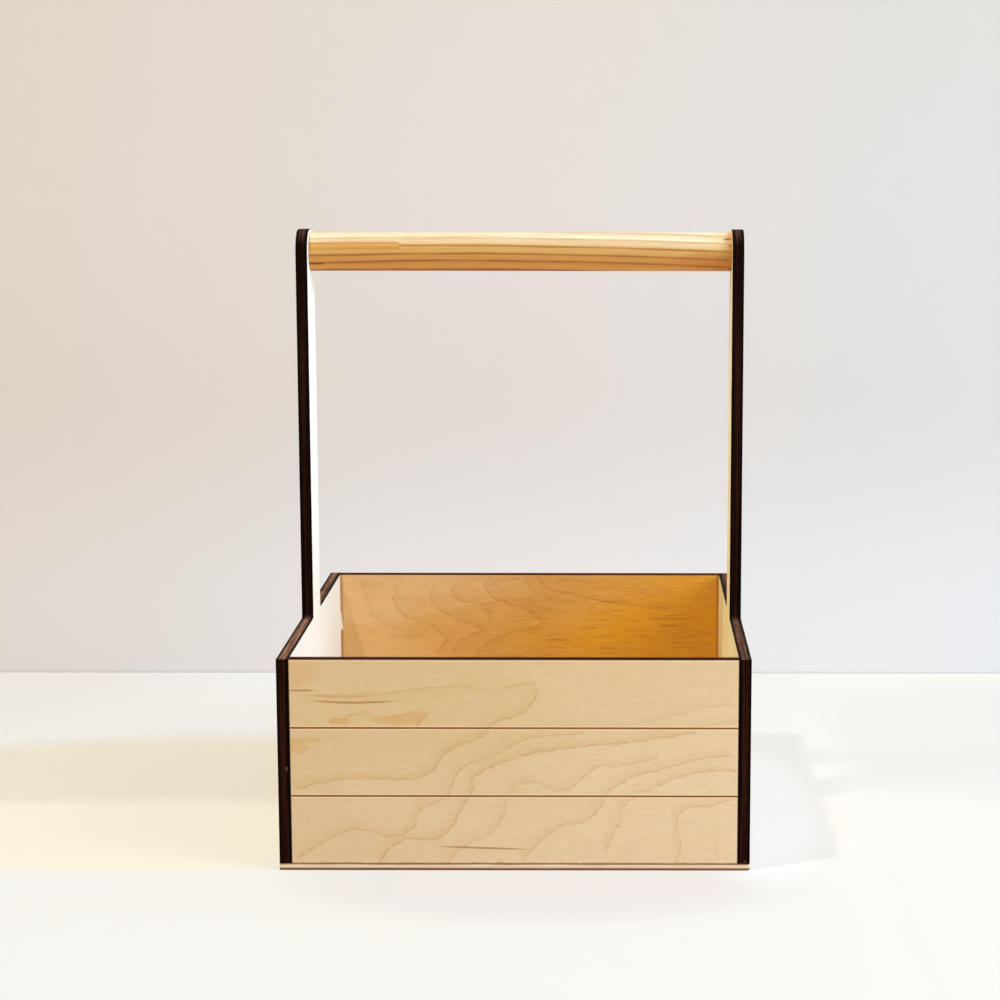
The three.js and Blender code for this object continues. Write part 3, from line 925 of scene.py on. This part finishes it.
def paint(piece, chosen, slot_of):
    """Gives the piece its materials; slot_of tells a face's material by its number in chosen."""
    piece.data.materials.clear()
    for material in chosen:
        piece.data.materials.append(materials[material])
    for face in piece.data.polygons:
        face.material_index = slot_of(face)


def round_bar(place, axis_turn, radius, length, sides):
    deselect()
    bpy.ops.mesh.primitive_cylinder_add(
        vertices=sides, radius=radius, depth=length, location=place, rotation=axis_turn
    )
    return bpy.context.active_object


def pin_cutter(node):
    """A round cutter a little wider and longer than a pin, along the pin."""
    low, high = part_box(node)
    size = high - low
    longest = max(range(3), key=lambda axis: size[axis])
    turn = (ALONG_X, ALONG_Y, ALONG_Z)[longest]
    radius = min(size) / 2 + HOLE_GAP
    return round_bar((low + high) / 2, turn, radius, size[longest] + HOLE_OVERRUN, PIN_SIDES)


def shank_cutter(node):
    """A round cutter a little wider and longer than a screw's shank."""
    low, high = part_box(node)
    length = high.x - low.x + HOLE_OVERRUN
    return round_bar((low + high) / 2, ALONG_X, SCREW_SHANK / 2 + HOLE_GAP, length, SCREW_SIDES)


def countersink_cutter(node):
    """A cone round a screw's head, open at the outer face."""
    low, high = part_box(node)
    middle = (low + high) / 2
    outward = 1 if middle.x > 0 else -1
    head_face = high.x if outward > 0 else low.x
    sink = SCREW_HEAD / 2 + HOLE_GAP * 2 - SCREW_SHANK / 2
    deselect()
    bpy.ops.mesh.primitive_cone_add(
        vertices=SCREW_SIDES,
        radius1=SCREW_SHANK / 2,
        radius2=SCREW_SHANK / 2 + sink,
        depth=sink,
        location=(head_face + outward * (HOLE_GAP - sink / 2), middle.y, middle.z),
        rotation=(0, outward * math.radians(90), 0),
    )
    return bpy.context.active_object


def chip_cutter(place, half_size):
    """A small round scoop for a chip in an edge."""
    deselect()
    bpy.ops.mesh.primitive_uv_sphere_add(
        segments=CHIP_SIDES, ring_count=CHIP_SIDES // 2, radius=1, location=place, scale=half_size
    )
    return bpy.context.active_object


def bore(piece, cutters, inside):
    """Cuts holes into a piece with a set of cutters, then removes them."""
    for cutter in cutters:
        cutter.data.materials.append(materials[inside])
        hole = piece.modifiers.new("hole", "BOOLEAN")
        hole.operation = "DIFFERENCE"
        hole.solver = "EXACT"
        hole.material_mode = "TRANSFER"
        hole.object = cutter
        take(piece)
        bpy.ops.object.modifier_apply(modifier=hole.name)
        bpy.data.objects.remove(cutter)


def fit(piece, node):
    """Puts a finished piece in its CAD node's place."""
    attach(piece, "root")
    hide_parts(node)


def pin_names(kind, places):
    numbers = range(1, PINS_IN_A_ROW + 1)
    return [f"{kind}_pin_{place}_{number}" for place in places for number in numbers]


# The sides: a low wall that rises at mid-depth into an upright
def side_panel(node, hand):
    low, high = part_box(node)
    piece = start_block(f"{node}_ply", low, Vector((high.x, high.y, RIM_HEIGHT)))

    def above_upright(face):
        return face.normal.z > NEARLY_ON and abs(face.calc_center_median().y) < UPRIGHT_HALF

    def at_foot(edge):
        middle = middle_of(edge)
        return runs_along(edge, 0) and near(middle.z, RIM_HEIGHT) and near(abs(middle.y), UPRIGHT_HALF)

    edit(piece)
    for place in (-UPRIGHT_HALF, UPRIGHT_HALF):
        cut((0, place, 0), (0, 1, 0))
    pick(piece, "FACE", above_upright)
    bpy.ops.mesh.extrude_region_move(TRANSFORM_OT_translate={"value": (0, 0, high.z - RIM_HEIGHT)})
    pick(piece, "EDGE", lambda e: runs_along(e, 0) and near(middle_of(e).z, high.z))
    bevel(UPRIGHT_CORNER, UPRIGHT_CORNER_STEPS)
    pick(piece, "EDGE", at_foot)
    bevel(RIM_FILLET, RIM_FILLET_STEPS)
    bpy.ops.mesh.select_all(action="SELECT")
    bpy.ops.mesh.dissolve_limited(angle_limit=FLAT_ANGLE)
    pick(piece, "EDGE", lambda e: sum(abs(f.normal.x) > NEARLY_ON for f in e.link_faces) == 1)
    bevel(ARRIS, ARRIS_STEPS)
    done()
    outside, inside, burnt = range(3)
    inner_normal = -1 if hand == "right" else 1

    def slot_of(face):
        if abs(face.normal.x) < SQUARE_ON:
            return burnt
        return inside if face.normal.x * inner_normal > 0 else outside

    paint(piece, ["side_outside", f"{hand}_inside", f"{hand}_burnt"], slot_of)
    cutters = [pin_cutter(pin) for pin in pin_names("corner", [f"{hand}_front", f"{hand}_back"])]
    cutters += [pin_cutter(pin) for pin in pin_names("base", [hand])]
    cutters += [shank_cutter(f"handle_screw_{hand}"), countersink_cutter(f"handle_screw_{hand}")]
    bore(piece, cutters, "bored_wood")
    bore(piece, [chip_cutter(*CHIPS[node])], "chipped")
    fit(piece, node)


# The front and back: flat panels with engraved lines on the outside
def lined_panel(node, outward):
    low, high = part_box(node)
    piece = start_block(f"{node}_ply", low, high)
    outer, inner = (high.y, low.y) if outward > 0 else (low.y, high.y)
    lines = [low.z + BAND_HEIGHT * number for number in range(1, BAND_COUNT)]

    def on_line(edge):
        middle = middle_of(edge)
        return near(middle.y, outer) and any(near(middle.z, line) for line in lines)

    def inner_end(edge):
        middle = middle_of(edge)
        return runs_along(edge, 2) and near(middle.y, inner) and near(abs(middle.x), high.x)

    edit(piece)
    for line in lines:
        for shift in (-LINE_WIDTH / 2, 0, LINE_WIDTH / 2):
            cut((0, 0, line + shift), (0, 0, 1))
    pick(piece, "EDGE", lambda e: runs_along(e, 0) and on_line(e))
    bpy.ops.transform.translate(value=(0, -outward * LINE_DEPTH, 0))
    pick(piece, "EDGE", lambda e: inner_end(e) or runs_along(e, 0) and near(middle_of(e).z, high.z))
    bevel(ARRIS, ARRIS_STEPS)
    done()
    outside, inside, burnt, engraved = range(4)

    def slot_of(face):
        if abs(face.normal.y) > SLOPED:
            if abs(face.normal.z) > SLOPED and face.center.z < high.z - BAND_HEIGHT / 2:
                return engraved
            if abs(face.normal.x) > SLOPED:
                return inside
        if abs(face.normal.y) < SQUARE_ON:
            return burnt
        return outside if face.normal.y * outward > 0 else inside

    wall = "front" if outward < 0 else "back"
    paint(piece, [wall, f"{wall}_inside", "panel_burnt", "engraved"], slot_of)
    cutters = [pin_cutter(pin) for pin in pin_names("corner", [f"left_{wall}", f"right_{wall}"])]
    cutters += [pin_cutter(pin) for pin in pin_names("base", [wall])]
    bore(piece, cutters, "bored_wood")
    if node in CHIPS:
        bore(piece, [chip_cutter(*CHIPS[node])], "chipped")
    fit(piece, node)


# The base: a thin sheet with a worn right front corner
def base_sheet():
    piece = start_block("base_panel_ply", BASE_LOW, BASE_HIGH)

    def worn(edge):
        middle = middle_of(edge)
        return runs_along(edge, 2) and near(middle.x, BASE_HIGH.x) and near(middle.y, BASE_LOW.y)

    edit(piece)
    pick(piece, "EDGE", worn)
    bevel(WORN_CORNER, WORN_CORNER_STEPS)
    pick(piece, "EDGE", lambda e: e.calc_face_angle() > SHARP_ANGLE)
    bevel(BASE_ARRIS, ARRIS_STEPS)
    done()
    paint(piece, ["base_face", "base_edge"], lambda f: 0 if abs(f.normal.z) > SQUARE_ON else 1)
    walls = ["left", "right", "front", "back"]
    bore(piece, [pin_cutter(pin) for pin in pin_names("base", walls)], "bored_wood")
    fit(piece, "base_panel")


# The handle: a turned pine rod between the uprights
def handle_rod():
    radius = (ROD_HIGH.z - ROD_LOW.z) / 2
    length = ROD_HIGH.x - ROD_LOW.x
    round_bar(ROD_MIDDLE, ALONG_X, radius, length, ROD_SIDES)
    piece = settled("handle_rod")
    edit(piece)
    pick(piece, "EDGE", lambda e: near(abs(middle_of(e).x), length / 2))
    bevel(ROD_END_ROUNDING, ROD_END_STEPS)
    pick(piece, "EDGE", lambda e: runs_along(e, 0))
    bpy.ops.mesh.subdivide(number_cuts=ROD_RINGS)
    done()
    paint(piece, ["pine"], lambda f: 0)
    bore(piece, [shank_cutter(f"handle_screw_{hand}") for hand in ("left", "right")], "pine")
    take(piece)
    bpy.ops.object.shade_smooth_by_angle(angle=SMOOTH_ANGLE)
    fit(piece, "handle_dowel")


# A bead of dried glue squeezed out of the left rear joint, wider at its foot
def glue_bead():
    piece = start_block("glue_bead", GLUE_LOW, GLUE_HIGH)

    def free(edge):
        middle = middle_of(edge)
        return not (near(middle.x, GLUE_LOW.x) or near(middle.y, GLUE_HIGH.y))

    edit(piece)
    pick(piece, "FACE", lambda f: f.normal.z > NEARLY_ON)
    corner = (GLUE_LOW.x, GLUE_HIGH.y, GLUE_HIGH.z)
    bpy.ops.transform.resize(value=(GLUE_TOP_SHARE, GLUE_TOP_SHARE, 1), center_override=corner)
    pick(piece, "EDGE", lambda e: free(e) or near(middle_of(e).z, GLUE_LOW.z) and len(e.link_faces) == 2)
    bevel(GLUE_ROUNDING, GLUE_STEPS)
    done()
    paint(piece, ["glue"], lambda f: 0)
    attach(piece, "root")


side_panel("left_side", "left")
side_panel("right_side", "right")
lined_panel("front_panel", -1)
lined_panel("back_panel", 1)
base_sheet()
handle_rod()
glue_bead()

for name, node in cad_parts.items():
    if "screw" in name or "pin" in name.split("_"):
        node.data.materials.clear()
        node.data.materials.append(materials["zinc" if "screw" in name else "steel"])


# Floor and backdrop
WALL_BEHIND = 317 * MM
STAGE_SIZE = 8
# The share of plain colour in what the camera sees: on the floor, on the floor to the right and on the wall.
FLOOR_SHARE = 0.62
RIGHT_FLOOR_SHARE = 0.92
WALL_SHARE = 0.4


def stage_plane(name, place, turn, material):
    deselect()
    bpy.ops.mesh.primitive_plane_add(size=STAGE_SIZE, location=place, rotation=turn)
    plane = bpy.context.active_object
    plane.name = name
    plane.data.materials.append(material)


def stage_paint(name):
    """A dull pale surface for the floor or the backdrop: its tree, shader and place in millimetres."""
    material, tree, shader, place = new_material(name)
    shader.inputs["Roughness"].default_value = STAGE_ROUGHNESS
    shader.inputs["Specular IOR Level"].default_value = STAGE_GLOSS
    return material, tree, shader, split(tree, place)


def seen_rays(tree):
    """1 for the rays by which the camera sees a surface, straight or in a reflection."""
    path = add_node(tree, "ShaderNodeLightPath").outputs
    kinds = ("Is Camera Ray", "Is Glossy Ray", "Is Transmission Ray")
    return strongest(tree, [path[kind] for kind in kinds])


def camera_share(tree, shader, colour, share):
    """Paints a stage surface and mixes a share of plain colour into what the camera sees of it."""
    seen = times(tree, seen_rays(tree), share)
    tree.links.new(colour, shader.inputs["Base Color"])
    glow = add_node(tree, "ShaderNodeEmission", {"Color": colour, "Strength": 1.0}).outputs[0]
    mixed = add_node(tree, "ShaderNodeMixShader", {0: seen, 1: shader.outputs[0], 2: glow}).outputs[0]
    tree.links.new(mixed, tree.nodes["Material Output"].inputs["Surface"])
    return mixed


# The floor's colour round the box and to its right, with the range of X in mm between the two, and a painted
# shadow of the handle as a dull band at the right. Tones by their middle and half size in mm: a duller far
# corner, the box's painted shadow in warm light as two pools beside the left side, painted shade as a duller
# strip before the box and a painted cool tint in the shade beside the right side.
FLOOR_NEAR = rgb(241, 240, 235)
FLOOR_RIGHT = rgb(250, 249, 244)
FLOOR_CHANGE = (150.0, 200.0)
FLOOR_HANDLE_SHADOW = ((330, 150), (260, 170))
FLOOR_HANDLE_SHADOW_COLOUR = rgb(243, 242, 239)
FLOOR_TONES_AND_SHADOWS = [
    ((-480, 330), (300, 240), rgb(237, 234, 229)),
    ((-170, 58), (260, 104), rgb(238, 229, 209)),
    ((-200, -55), (220, 78), rgb(248, 242, 221)),
    ((15, -130), (140, 75), rgb(235, 231, 228)),
    ((122, -10), (42, 150), rgb(245, 246, 247)),
]


def floor_paint():
    """The floor's colour with its tones and painted shadows."""
    material, tree, shader, spots = stage_paint("floor_white_painted_shadows")
    beside = remap(tree, spots["X"], *FLOOR_CHANGE)
    colour = blend(tree, beside, FLOOR_NEAR, FLOOR_RIGHT)
    # A painted shadow of the handle: a dull band on the floor at the right.
    handle_shadow = times(tree, soft_spot(tree, spots, *FLOOR_HANDLE_SHADOW), beside)
    colour = blend(tree, handle_shadow, colour, FLOOR_HANDLE_SHADOW_COLOUR)
    # The box's painted shadows and shade, and the duller far corner.
    for middle, half_size, tone in FLOOR_TONES_AND_SHADOWS:
        colour = blend(tree, soft_spot(tree, spots, middle, half_size), colour, tone)
    share = remap(tree, beside, 0.0, 1.0, FLOOR_SHARE, RIGHT_FLOOR_SHARE)
    camera_share(tree, shader, colour, share)
    return material


# The backdrop's colours at the left, the middle and the right, low down and half-way up, in which warm light
# at the left, cool light at the right and its falling off upwards are painted, its painted shade above and
# the painted shade in the crease at its foot. The ranges in mm over which they change, along it and up from
# its foot.
WALL_LOW = (rgb(228, 220, 215), rgb(232, 229, 229), rgb(223, 223, 225))
WALL_HALF_WAY = (rgb(223, 212, 199), rgb(224, 216, 212), rgb(214, 212, 211))
WALL_SHADE_ABOVE = rgb(205, 193, 174)
WALL_FOOT_SHADE = rgb(196, 193, 192)
WALL_LEFT_CHANGE = (-400.0, -50.0)
WALL_RIGHT_CHANGE = (0.0, 300.0)
WALL_RISE = (40, 200)
WALL_UPPER_RISE = (250, 620)
WALL_FOOT_SHADE_HEIGHT = 2.2


def wall_paint():
    """The backdrop's colour with its painted light and shade, seen from the front alone."""
    material, tree, shader, spots = stage_paint("wall_pale_painted_shade")
    foot = -STAGE_SIZE / 2 / MM
    left = remap(tree, spots["X"], *WALL_LEFT_CHANGE)
    right = remap(tree, spots["X"], *WALL_RIGHT_CHANGE)
    rise = remap(tree, spots["Y"], *(foot + height for height in WALL_RISE))
    # Painted shade higher up the backdrop.
    above = remap(tree, spots["Y"], *(foot + height for height in WALL_UPPER_RISE), 0.0, 0.38)
    rows = []
    for at_left, at_middle, at_right in (WALL_LOW, WALL_HALF_WAY):
        row = blend(tree, left, at_left, at_middle)
        rows.append(blend(tree, right, row, at_right))
    colour = blend(tree, rise, *rows)
    colour = blend(tree, above, colour, WALL_SHADE_ABOVE)
    # Painted shade in the crease at the backdrop's foot.
    foot_shade = remap(tree, spots["Y"], foot, foot + WALL_FOOT_SHADE_HEIGHT, 0.55, 0.0)
    colour = blend(tree, foot_shade, colour, WALL_FOOT_SHADE)
    seen_wall = camera_share(tree, shader, colour, WALL_SHARE)
    clear = add_node(tree, "ShaderNodeBsdfTransparent").outputs[0]
    behind = add_node(tree, "ShaderNodeNewGeometry").outputs["Backfacing"]
    one_sided = add_node(tree, "ShaderNodeMixShader", {0: behind, 1: seen_wall, 2: clear}).outputs[0]
    tree.links.new(one_sided, tree.nodes["Material Output"].inputs["Surface"])
    return material


stage_plane("floor", (0, 0, 0), (0, 0, 0), floor_paint())
stage_plane("backdrop", (0, WALL_BEHIND, STAGE_SIZE / 2), ALONG_Y, wall_paint())


# Light: an even surround, a soft key from the right and a weak warm lamp above the left. Each lamp has its
# place and the size of its disc in metres, its power in watts and its colour.
LAMPS = {
    "key_right": ((1.28, -0.64, 0.82), 1.2, 21.5, (0.78, 0.9, 1.0)),
    "lamp_left": ((-0.55, -0.45, 1.6), 0.1, 12.0, (1.0, 0.94, 0.86)),
}
LAMP_AIM = Vector((0, 0, 0.1))


def soft_lamp(name, place, size, power, colour):
    data = bpy.data.lights.new(name, "AREA")
    data.shape = "DISK"
    data.size = size
    data.energy = power
    data.color = colour
    lamp = bpy.data.objects.new(name, data)
    bpy.context.scene.collection.objects.link(lamp)
    lamp.location = place
    lamp.rotation_euler = (LAMP_AIM - Vector(place)).to_track_quat("-Z", "Y").to_euler()


SURROUND_LEVEL = 0.4
SURROUND_SEEN = 0.86
world = bpy.data.worlds.new("even_surround")
bpy.context.scene.world = world
world.use_nodes = True
surround = world.node_tree.nodes["Background"]
surround.inputs["Color"].default_value = (1.0, 1.0, 1.0, 1.0)
seen_level = remap(world.node_tree, seen_rays(world.node_tree), 0.0, 1.0, SURROUND_LEVEL, SURROUND_SEEN)
world.node_tree.links.new(seen_level, surround.inputs["Strength"])
for lamp_name, settings in LAMPS.items():
    soft_lamp(lamp_name, *settings)


# Camera at the photograph's viewpoint
CAMERA_PLACE = (46.933 * MM, -1245.451 * MM, 357.6 * MM)
CAMERA_DIP = math.radians(8.7525)
CAMERA_ROLL = 0.00142
CAMERA_LENS = 86.165
CAMERA_SENSOR = 36
CAMERA_SHIFT = -0.11114
camera_data = bpy.data.cameras.new("photo_camera")
camera_data.lens = CAMERA_LENS
camera_data.sensor_width = CAMERA_SENSOR
camera_data.shift_x = CAMERA_SHIFT
camera = bpy.data.objects.new("photo_camera", camera_data)
bpy.context.scene.collection.objects.link(camera)
tilt = Matrix.Rotation(math.radians(90) - CAMERA_DIP, 4, "X") @ Matrix.Rotation(CAMERA_ROLL, 4, "Z")
camera.matrix_world = Matrix.Translation(CAMERA_PLACE) @ tilt
bpy.context.scene.camera = camera
bpy.context.scene.view_settings.view_transform = "Standard"

bpy.context.view_layer.update()
